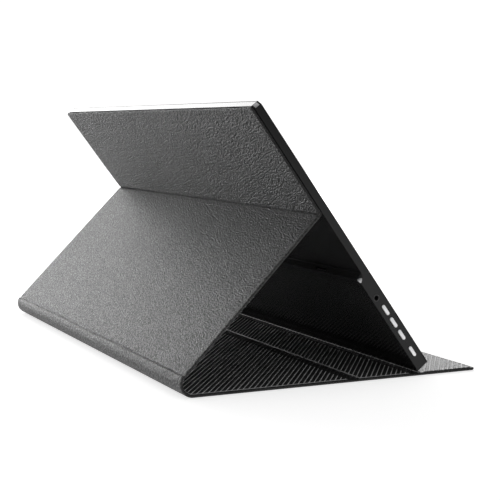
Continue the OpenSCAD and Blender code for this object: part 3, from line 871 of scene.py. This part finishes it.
choose(frontBezel, "EDGE", lambda e: edgeAll(e, lambda p: p.z > bezel["front"] - 0.01
       and abs(p.x) < bezel["window"] / 2 + 0.01 and between(p.y, bezel["low"] - 0.01, bezel["high"] + 0.01)))
bevel(0.35, 2)
leaveEdit()
tidyMesh(frontBezel, 0.0001)
shadeSmooth(frontBezel, 30)
applyModifier(frontBezel, "WEIGHTED_NORMAL", keep_sharp=True)
placeInFrame(frontBezel)
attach(frontBezel, "display")
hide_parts("screen_bezel")
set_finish(frontBezel, "bezel")

# Keys on the left side: a bright pill with a fine rim, on a flange behind the wall
for name, up in keyPlaces.items():
    proud = keyForm["proud"]
    key = addSlot(name + "_cap", -wide - proud, -wide + 2.0, up, keyForm["z"], keyForm["length"],
                  keyForm["width"])
    choose(key, "FACE", lambda f: f.normal.x < -0.9)
    bpy.ops.mesh.inset(thickness=0.26)
    bpy.ops.transform.translate(value=(0.12, 0, 0))
    bpy.ops.mesh.inset(thickness=0.22)
    bpy.ops.transform.translate(value=(-0.08, 0, 0))
    choose(key, "EDGE", lambda e: edgeAll(e, lambda p: p.x < -wide - proud + 0.01)
           and any(abs(f.normal.x) < 0.1 for f in e.link_faces))
    bevel(0.12, 2)
    leaveEdit()
    flange = addBlock("flange", (-wide + 1.4, up - keyForm["length"] / 2 - 1, keyForm["z"] - 1.6),
                      (-wide + 2.0, up + keyForm["length"] / 2 + 1, keyForm["z"] + 1.0))
    nub = addRound("nub", -wide + 1.9, -wide + 3.7, up, keyForm["z"] - 0.3, 1.6, 24)
    joinAll(key, flange, nub)
    shadeSmooth(key, 35)
    placeInFrame(key)
    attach(key, name)
    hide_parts(name)
    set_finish(key, "key")
print("bezel and keys done")


# Finishes
def shaderOf(material):
    return material.node_tree.nodes["Principled BSDF"]


def newMaterial(name, colour, roughness, metallic=0.0, ior=1.5):
    material = bpy.data.materials.new(name)
    material.use_nodes = True
    shader = shaderOf(material)
    shader.inputs["Base Color"].default_value = (*colour, 1)
    shader.inputs["Roughness"].default_value = roughness
    shader.inputs["Metallic"].default_value = metallic
    shader.inputs["IOR"].default_value = ior
    return material


def addNode(material, kind, **inputs):
    node = material.node_tree.nodes.new(kind)
    for key, value in inputs.items():
        node.inputs[key.replace("_", " ")].default_value = value
    return node


def link(material, source, output, target, socket):
    material.node_tree.links.new(source.outputs[output], target.inputs[socket])


def feed(material, source, output, socket):
    link(material, source, output, shaderOf(material), socket)


def objectPlace(material, scale=(1, 1, 1), turn=(0, 0, 0)):
    place = addNode(material, "ShaderNodeTexCoord")
    mapping = addNode(material, "ShaderNodeMapping", Scale=scale, Rotation=[math.radians(a) for a in turn])
    link(material, place, "Object", mapping, "Vector")
    return mapping


def noiseOn(material, mapping, scale, detail=3.0, roughness=0.55, distortion=0.0):
    pattern = addNode(material, "ShaderNodeTexNoise", Scale=scale, Detail=detail, Roughness=roughness,
                      Distortion=distortion)
    link(material, mapping, "Vector", pattern, "Vector")
    return pattern


def ramp(material, source, output, low, high, first, second):
    # remaps a pattern to two colours
    node = addNode(material, "ShaderNodeValToRGB")
    node.color_ramp.elements[0].position = low
    node.color_ramp.elements[1].position = high
    node.color_ramp.elements[0].color = (*first, 1)
    node.color_ramp.elements[1].color = (*second, 1)
    link(material, source, output, node, "Fac")
    return node


def spread(material, source, output, **limits):
    # remaps a pattern to other limits
    node = addNode(material, "ShaderNodeMapRange", **limits)
    link(material, source, output, node, "Value")
    return node


def mixPatterns(material, first, firstOut, second, secondOut, share):
    node = material.node_tree.nodes.new("ShaderNodeMix")
    node.data_type = "FLOAT"
    node.inputs["Factor"].default_value = share
    link(material, first, firstOut, node, "A")
    link(material, second, secondOut, node, "B")
    return node


def fadeTo(material, kind, source, output, value, factor, factorOut):
    # fades a colour or a number towards a fixed one
    node = material.node_tree.nodes.new("ShaderNodeMix")
    node.data_type = kind
    node.inputs["B"].default_value = value
    link(material, source, output, node, "A")
    link(material, factor, factorOut, node, "Factor")
    return node


def attributeNode(material, name):
    node = material.node_tree.nodes.new("ShaderNodeAttribute")
    node.attribute_name = name
    return node


def bumpFrom(material, source, output, strength, distance):
    bump = addNode(material, "ShaderNodeBump", Strength=strength, Distance=distance)
    link(material, source, output, bump, "Height")
    feed(material, bump, "Normal", "Normal")
    return bump


def glossFrom(material, source, output, **limits):
    dull = spread(material, source, output, **limits)
    feed(material, dull, "Result", "Roughness")


def grey(value):
    return (value, value, value * 1.01)


def makeLeather():
    # wrinkled pebble grain that runs slantwise, with pressed valleys a little duller and darker, the
    # darkening being painted shade of the grain; the upper panel carries painted shade too
    material = newMaterial("pebbled_leather", grey(0.03), 0.46, ior=1.45)
    slant = objectPlace(material, scale=(0.75, 1.25, 1.0), turn=(0, 0, 35))
    plain = objectPlace(material)
    wrinkle = noiseOn(material, slant, 820, 2.0, 0.5, 0.2)
    pebble = addNode(material, "ShaderNodeTexVoronoi", Scale=1050.0, Randomness=0.9)
    pebble.feature = "SMOOTH_F1"
    link(material, slant, "Vector", pebble, "Vector")
    pores = noiseOn(material, plain, 2100, 2.0, 0.5)
    plainGrain = mixPatterns(material, wrinkle, "Fac", pebble, "Distance", 0.5)
    turned = objectPlace(material, turn=(-tilt, 0, 23))
    drawn = addNode(material, "ShaderNodeMapping", Scale=(0.38, 1, 1))
    link(material, turned, "Vector", drawn, "Vector")
    ridge = noiseOn(material, drawn, 1060, 1.0, 0.4)
    bead = addNode(material, "ShaderNodeTexVoronoi", Scale=1080.0, Randomness=0.7)
    bead.feature = "SMOOTH_F1"
    link(material, drawn, "Vector", bead, "Vector")
    ridgeGrain = mixPatterns(material, ridge, "Fac", bead, "Distance", 0.35)
    reliefAndShade = attributeNode(material, "reliefAndShade")
    grain = mixPatterns(material, plainGrain, "Result", ridgeGrain, "Result", 0.0)
    link(material, reliefAndShade, "Fac", grain, "Factor")
    fineGrain = mixPatterns(material, grain, "Result", pores, "Fac", 0.1)
    plainDepth, ridgeDepth = 0.0011, 0.0048
    bump = bumpFrom(material, fineGrain, "Result", 1.0, plainDepth)
    depth = spread(material, reliefAndShade, "Fac", To_Min=plainDepth, To_Max=ridgeDepth)
    link(material, depth, "Result", bump, "Distance")
    # grain tone: the darker low places are painted shade of the grain's relief
    tone = ramp(material, grain, "Result", 0.36, 0.56, grey(0.006), grey(0.042))
    # painted shade: on the upper panel the colour is darkened towards near black and the gloss set duller
    share = spread(material, reliefAndShade, "Fac", To_Max=0.6)
    upperShade = fadeTo(material, "RGBA", tone, "Color", (0.003, 0.003, 0.003, 1), share, "Result")
    # painted shade: towards the side walls the colour fades to near black
    rimmed = fadeTo(material, "RGBA", upperShade, "Result", (0.002, 0.002, 0.002, 1),
                    attributeNode(material, "rim"), "Fac")
    feed(material, rimmed, "Result", "Base Color")
    dull = spread(material, fineGrain, "Result", From_Min=0.32, From_Max=0.64, To_Min=0.66, To_Max=0.38)
    worn = fadeTo(material, "FLOAT", dull, "Result", 0.62, share, "Result")
    feed(material, worn, "Result", "Roughness")
    return material


def makeLining():
    # pressed synthetic fabric, fine weave on the ribs; the rib tops carry a painted highlight and the valleys
    # painted shade
    material = newMaterial("ribbed_lining", grey(0.03), 0.42)
    plain = objectPlace(material)
    turned = objectPlace(material, turn=(0, 0, 39))
    thread = addNode(material, "ShaderNodeTexWave", Scale=700.0, Distortion=0.6, Detail=1.0)
    link(material, turned, "Vector", thread, "Vector")
    fuzz = noiseOn(material, plain, 1500, 2.0)
    weave = mixPatterns(material, thread, "Fac", fuzz, "Fac", 0.5)
    bumpFrom(material, weave, "Result", 0.35, 0.0002)
    crestHighlight = attributeNode(material, "crestHighlight")
    # painted highlight: the rib crests are light grey, the valleys near black
    tone = ramp(material, crestHighlight, "Fac", 0.6, 0.95, grey(0.004), grey(0.7))
    feed(material, tone, "Color", "Base Color")
    dull = spread(material, crestHighlight, "Fac", From_Min=0.4, From_Max=0.9, To_Min=0.85, To_Max=0.4)
    smooth = spread(material, attributeNode(material, "polish"), "Fac", To_Max=0.3)
    link(material, dull, "Result", smooth, "To Min")
    feed(material, smooth, "Result", "Roughness")
    return material


def makeHousing():
    # blasted and anodised aluminium, nearly black
    material = newMaterial("anodised_housing", grey(0.01), 0.26, ior=1.32)
    plain = objectPlace(material)
    blast = noiseOn(material, plain, 3200, 2.0, 0.6)
    cloud = noiseOn(material, plain, 9, 2.0)
    bumpFrom(material, blast, "Fac", 0.06, 0.00004)
    tone = ramp(material, cloud, "Fac", 0.3, 0.7, grey(0.0085), grey(0.0115))
    feed(material, tone, "Color", "Base Color")
    glossFrom(material, cloud, "Fac", To_Min=0.17, To_Max=0.22)
    return material


def makePlain(name, colour, roughness, metallic=0.0, scale=900, bump=0.15, depth=0.0001, change=0.12, ior=1.5,
              stretch=(1, 1, 1)):
    # one finish with fine texture, slight change of tone and of gloss
    material = newMaterial(name, colour, roughness, metallic, ior)
    mapping = objectPlace(material, scale=stretch)
    texture = noiseOn(material, mapping, scale, 3.0)
    cloud = noiseOn(material, mapping, scale / 25, 2.0)
    bumpFrom(material, texture, "Fac", bump, depth)
    darker = tuple(c * (1 - change) for c in colour)
    lighter = tuple(min(1.0, c * (1 + change)) for c in colour)
    tone = ramp(material, cloud, "Fac", 0.3, 0.7, darker, lighter)
    feed(material, tone, "Color", "Base Color")
    glossFrom(material, texture, "Fac", To_Min=max(0.02, roughness - 0.06), To_Max=roughness + 0.06)
    return material


def makeBoardGreen():
    # solder mask with tracks under it
    material = newMaterial("circuit_board", (0.01, 0.07, 0.03), 0.35)
    mapping = objectPlace(material)
    tracks = addNode(material, "ShaderNodeTexBrick", Scale=260.0, Mortar_Size=0.03)
    tracks.offset = 0.37
    tracks.inputs["Color1"].default_value = (0.008, 0.06, 0.028, 1)
    tracks.inputs["Color2"].default_value = (0.012, 0.085, 0.04, 1)
    tracks.inputs["Mortar"].default_value = (0.03, 0.16, 0.07, 1)
    link(material, mapping, "Vector", tracks, "Vector")
    feed(material, tracks, "Color", "Base Color")
    fuzz = noiseOn(material, mapping, 900, 2.0)
    bumpFrom(material, tracks, "Fac", 0.3, 0.0001)
    glossFrom(material, fuzz, "Fac", To_Min=0.28, To_Max=0.42)
    return material


def makeScreen():
    # dark anti-glare screen with its fine grid of picture points
    material = newMaterial("screen", (0.004, 0.004, 0.005), 0.3)
    mapping = objectPlace(material)
    haze = noiseOn(material, mapping, 2600, 2.0)
    cloud = noiseOn(material, mapping, 6, 2.0)
    bumpFrom(material, haze, "Fac", 0.2, 0.00005)
    tone = ramp(material, cloud, "Fac", 0.3, 0.7, (0.003, 0.003, 0.004), (0.006, 0.006, 0.0075))
    feed(material, tone, "Color", "Base Color")
    glossFrom(material, haze, "Fac", To_Min=0.24, To_Max=0.36)
    return material


finishes = {
    "leather": makeLeather(),
    "lining": makeLining(),
    "housing": makeHousing(),
    "bezel": makePlain("bezel_plastic", grey(0.003), 0.4, scale=2400, depth=0.00006, ior=1.2),
    "screen": makeScreen(),
    "stiffener": makePlain("grey_board", (0.25, 0.22, 0.18), 0.85, scale=700, bump=0.5, depth=0.0003,
                           change=0.2),
    "film": makePlain("white_film", (0.82, 0.82, 0.85), 0.35, scale=500, bump=0.05),
    "light_guide": makePlain("light_guide", (0.7, 0.78, 0.82), 0.12, scale=700, bump=0.1, ior=1.49),
    "lamp": makePlain("lamp_strip", (0.85, 0.72, 0.4), 0.4, scale=600, bump=0.1, change=0.25),
    "inner_frame": makePlain("inner_frame_plastic", grey(0.05), 0.5, scale=1500),
    "circuit_board": makeBoardGreen(),
    "flat_cable": makePlain("flat_cable", (0.45, 0.25, 0.06), 0.3, scale=900, stretch=(8, 1, 1), change=0.3),
    "chip": makePlain("chip_resin", grey(0.015), 0.55, scale=2800, bump=0.3),
    "tin": makePlain("tinned_sheet", grey(0.6), 0.28, 1.0, scale=800, bump=0.12, stretch=(1, 6, 1)),
    "steel": makePlain("plated_steel", grey(0.5), 0.3, 1.0, scale=1200, bump=0.12),
    "magnet": makePlain("nickel_magnet", grey(0.55), 0.22, 1.0, scale=900, bump=0.1),
    "key": makePlain("silver_key", grey(0.86), 0.34, 0.5, scale=2600, bump=0.2, depth=0.00005, change=0.04),
    "light_pipe": makePlain("light_pipe", (0.002, 0.002, 0.003), 0.15, scale=900, bump=0.05),
    "socket_plastic": makePlain("socket_plastic", grey(0.01), 0.45, scale=2200),
    "speaker": makePlain("speaker_case", grey(0.02), 0.6, scale=1600, bump=0.25),
}

slotNodes = {
    "screen": ["lcd_cell"],
    "stiffener": ["base_rear_board", "base_front_board", "flap_board", "spine_stiffener", "middle_board",
                  "upper_board"],
    "film": ["diffuser_sheet", "reflector_sheet"],
    "light_guide": ["light_guide"],
    "lamp": ["backlight_bar"],
    "inner_frame": ["lcd_chassis"],
    "circuit_board": ["panel_board", "main_board", "key_board"],
    "flat_cable": ["panel_cable"],
    "chip": ["board_chips", "key_switches"],
    "tin": ["shield_can", "upper_usb_socket", "lower_usb_socket", "video_socket"],
    "steel": ["holding_plates", "board_screws"],
    "magnet": ["flap_magnets", "upper_magnets"],
    "light_pipe": ["status_light"],
    "socket_plastic": ["headphone_socket"],
    "speaker": ["left_speaker", "right_speaker"],
}


def dress(obj, material):
    obj.data.materials.clear()
    obj.data.materials.append(material)


for slotName, members in slotNodes.items():
    for member in members:
        for place in nodes[member].material_slots:
            place.material = finishes[slotName]
for obj in bpy.context.scene.objects:
    if obj.type == "MESH" and obj.get("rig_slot") and not obj.get("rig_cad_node"):
        dress(obj, finishes[obj["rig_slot"]])
print("finishes on")


# Floor, light and camera
stage = {
    "floorGlow": 0.68,                        # the floor is a light table, so no hard shadow shows
    "nearSide": 0.44,                         # light from the side of the darkened room
    "farSide": 0.42,                          # light from the bright side
}
softboxes = (                                 # name, place, target, size, power
    ("softbox_above", (0.2, 0.3, 1.9), (0, 0, 0), (1.8, 1.8), 4),
    ("softbox_far", (2.6, 0.75, 0.38), (0.1, 0, 0.05), (2.6, 0.72), 50),
    ("softbox_edge", (2.35, -0.25, 1.15), (0, 0, 0.15), (0.8, 1.0), 12),
    ("softbox_front", (2.2, -1.5, 0.45), (0, -0.09, 0), (2.0, 0.8), 12),
)


def whiteFloor():
    clearSelection()
    bpy.ops.mesh.primitive_plane_add(size=7.5, location=(0, 0, -0.0004))
    floor = bpy.context.object
    floor.name = "floor"
    material = makePlain("white_floor", (0.75, 0.75, 0.75), 0.9, scale=20, bump=0.0, change=0.01)
    shaderOf(material).inputs["Emission Color"].default_value = (1, 1, 1, 1)
    place = addNode(material, "ShaderNodeTexCoord")
    far = material.node_tree.nodes.new("ShaderNodeVectorMath")
    far.operation = "LENGTH"
    link(material, place, "Object", far, "Vector")
    glow = spread(material, far, "Value", From_Min=1.4, From_Max=3.2, To_Min=stage["floorGlow"], To_Max=1.1)
    feed(material, glow, "Result", "Emission Strength")
    dress(floor, material)


def softbox(name, place, target, size, power):
    light = bpy.data.lights.new(name, "AREA")
    light.shape = "RECTANGLE"
    light.size, light.size_y = size
    light.energy = power
    obj = bpy.data.objects.new(name, light)
    bpy.context.scene.collection.objects.link(obj)
    obj.location = place
    obj.rotation_euler = (Vector(target) - Vector(place)).to_track_quat("-Z", "Y").to_euler()


whiteFloor()
for lamp in softboxes:
    softbox(*lamp)


def studioWorld():
    # white all round for the camera, but lit from the bright side of the room
    world = bpy.data.worlds.new("studio")
    world.use_nodes = True
    tree = world.node_tree
    white = tree.nodes["Background"]
    white.inputs["Color"].default_value = (1, 1, 1, 1)
    white.inputs["Strength"].default_value = 1.1
    room = tree.nodes.new("ShaderNodeBackground")
    place = tree.nodes.new("ShaderNodeTexCoord")
    split = tree.nodes.new("ShaderNodeSeparateXYZ")
    fade = tree.nodes.new("ShaderNodeMapRange")
    fade.interpolation_type = "SMOOTHSTEP"
    for key, value in (("From Min", -0.75), ("From Max", 0.65), ("To Min", stage["nearSide"]),
                       ("To Max", stage["farSide"])):
        fade.inputs[key].default_value = value
    path = tree.nodes.new("ShaderNodeLightPath")
    mix = tree.nodes.new("ShaderNodeMixShader")
    tree.links.new(place.outputs["Generated"], split.inputs["Vector"])
    tree.links.new(split.outputs["X"], fade.inputs["Value"])
    tree.links.new(fade.outputs["Result"], room.inputs["Strength"])
    tree.links.new(path.outputs["Is Camera Ray"], mix.inputs["Fac"])
    tree.links.new(room.outputs["Background"], mix.inputs[1])
    tree.links.new(white.outputs["Background"], mix.inputs[2])
    tree.links.new(mix.outputs["Shader"], tree.nodes["World Output"].inputs["Surface"])
    bpy.context.scene.world = world


studioWorld()

camera = bpy.data.objects.new("camera", bpy.data.cameras.new("camera"))
bpy.context.scene.collection.objects.link(camera)
camera.data.lens = 79.6
camera.data.sensor_width = 36.0
camera.data.clip_start = 0.01
right = Vector((-0.46493, -0.88509, 0.02104))
up = Vector((0.09953, -0.02863, 0.99462))
back = right.cross(up).normalized()
place = Matrix.Translation((-0.7888, 0.39061, 0.16154))
camera.matrix_world = place @ Matrix((right, up, back)).transposed().to_4x4()
bpy.context.scene.camera = camera
bpy.context.scene.view_settings.view_transform = "Standard"

clearSelection()
